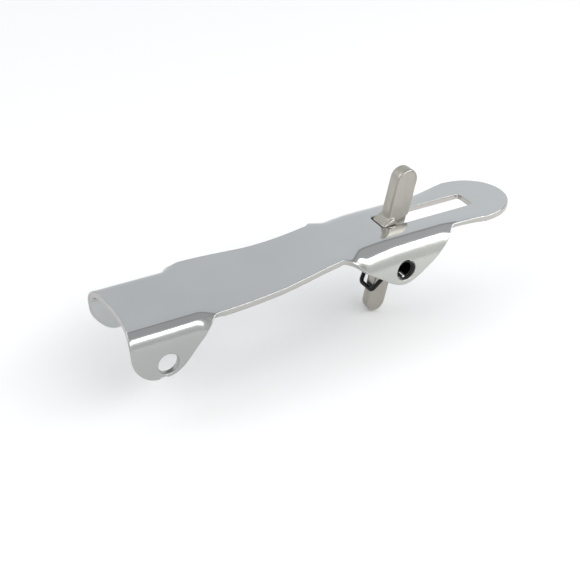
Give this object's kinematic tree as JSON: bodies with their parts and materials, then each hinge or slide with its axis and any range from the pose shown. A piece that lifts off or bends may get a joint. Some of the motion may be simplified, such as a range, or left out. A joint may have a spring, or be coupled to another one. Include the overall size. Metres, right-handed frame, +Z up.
{
  "type": "sprung latch arm",
  "caption": "Hinged pressed-metal latch arm with a slotted rounded tip and a sprung catch lever on a pivot pin.",
  "frame": {"origin": "on the axis of the two empty hinge bores, midway between the rear ears", "axes": "+X from the hinge end towards the rounded tip, +Y across the arm, +Z up out of the top face"},
  "size_m": [0.136, 0.0306, 0.0482],
  "materials": {
    "bright_plated_steel": "bright plated, polished on top and fine brushed on the ears",
    "plated_casting": "warm grey plated casting, satin",
    "black_spring_steel": "black oxide, semi-gloss"
  },
  "bodies": {
    "arm": {"latch_arm": "bright_plated_steel", "pivot_pin": "black_spring_steel", "torsion_spring": "black_spring_steel"},
    "lever": {"catch_lever": "plated_casting"}
  },
  "joints": [
    {"name": "catch_lever_turn", "type": "hinge", "parent": "arm", "child": "lever", "pos_m": [0.0784, 0, 0.0072], "axis": [0, 1, 0], "range_deg": [0, 60], "stiffness_Nm_per_rad": 0.05, "springref_deg": -28.65, "deforming": ["torsion_spring"]}
  ]
}
